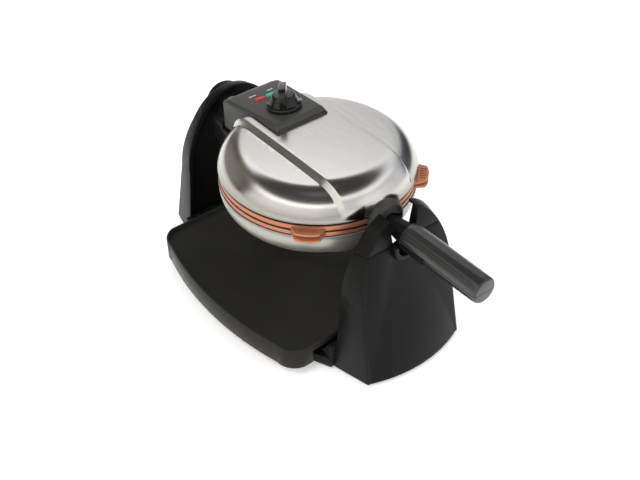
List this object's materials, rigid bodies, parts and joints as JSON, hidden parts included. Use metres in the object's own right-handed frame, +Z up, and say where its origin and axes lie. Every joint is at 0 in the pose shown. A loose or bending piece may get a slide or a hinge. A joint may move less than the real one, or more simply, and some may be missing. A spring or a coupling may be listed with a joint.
{
  "type": "waffle maker",
  "caption": "Flip waffle maker: round steel iron with copper-coloured grids that turns over between two black towers, with a side handle, dial and drip tray.",
  "frame": {"origin": "on the table, midway between the two towers, below the flip axis", "axes": "+Z up, +X towards the handle along the flip axis, -Y towards the tray's front"},
  "size_m": [0.4325, 0.235, 0.2233],
  "materials": {
    "black_plastic": "satin moulded",
    "grip_plastic": "semi-gloss",
    "tray_plastic": "satin moulded",
    "knob_plastic": "gloss",
    "brushed_steel": "brushed",
    "copper_coating": "copper-coloured non-stick",
    "frame_enamel": "enamel",
    "heater_sheath": "dull metal sheath",
    "shaft_steel": "turned",
    "bush_plastic": "plain",
    "foot_rubber": "matte",
    "red_lens": "clear tinted",
    "green_lens": "clear tinted"
  },
  "bodies": {
    "base": {"base_pan": "black_plastic", "tower_left": "black_plastic", "tower_right": "black_plastic", "tower_cap_front": "black_plastic", "tower_cap_back": "black_plastic", "saddle": "black_plastic", "liner_left": "black_plastic", "liner_right": "black_plastic", "pivot_bush": "bush_plastic", "pivot_cap": "black_plastic", "cord_gland": "black_plastic", "feet": "foot_rubber", "base_screws": "shaft_steel"},
    "tray": {"drip_tray": "tray_plastic"},
    "iron": {"lower_shell": "brushed_steel", "lower_frame": "frame_enamel", "lower_heater": "heater_sheath", "lower_grid": "copper_coating", "hinge_block": "black_plastic", "hinge_pin": "shaft_steel", "pivot_shaft": "shaft_steel", "collar_lower": "black_plastic", "lower_handle": "black_plastic"},
    "lid": {"lid_shell": "brushed_steel", "upper_frame": "frame_enamel", "upper_heater": "heater_sheath", "upper_grid": "copper_coating", "control_housing": "black_plastic", "control_panel": "black_plastic", "power_light": "red_lens", "ready_light": "green_lens", "thermostat": "frame_enamel", "collar_upper": "black_plastic", "upper_neck": "black_plastic", "grip_upper": "grip_plastic", "grip_lower": "grip_plastic"},
    "knob": {"knob": "knob_plastic", "knob_stem": "shaft_steel"},
    "upper_catch": {"upper_catch": "shaft_steel"},
    "lower_catch": {"lower_catch": "shaft_steel"}
  },
  "joints": [
    {"name": "flip", "type": "hinge", "parent": "base", "child": "iron", "pos_m": [0, 0, 0.15], "axis": [1, 0, 0], "range_deg": [0, 180]},
    {"name": "lid_hinge", "type": "hinge", "parent": "iron", "child": "lid", "pos_m": [-0.093, 0, 0.165], "axis": [0, 1, 0], "range_deg": [-90, 0]},
    {"name": "knob_turn", "type": "hinge", "parent": "lid", "child": "knob", "pos_m": [-0.037, 0, 0.19604], "axis": [-0.1132, 0, 0.9936], "range_deg": [-135, 135]},
    {"name": "tray_slide", "type": "slide", "parent": "base", "child": "tray", "axis": [0, -1, 0], "range_m": [0, 0.12]},
    {"name": "upper_catch_slide", "type": "slide", "parent": "lid", "child": "upper_catch", "axis": [0, 1, 0], "range_m": [0, 0.003], "stiffness_N_per_m": 400},
    {"name": "lower_catch_slide", "type": "slide", "parent": "iron", "child": "lower_catch", "axis": [0, 1, 0], "range_m": [0, 0.003], "stiffness_N_per_m": 400}
  ]
}
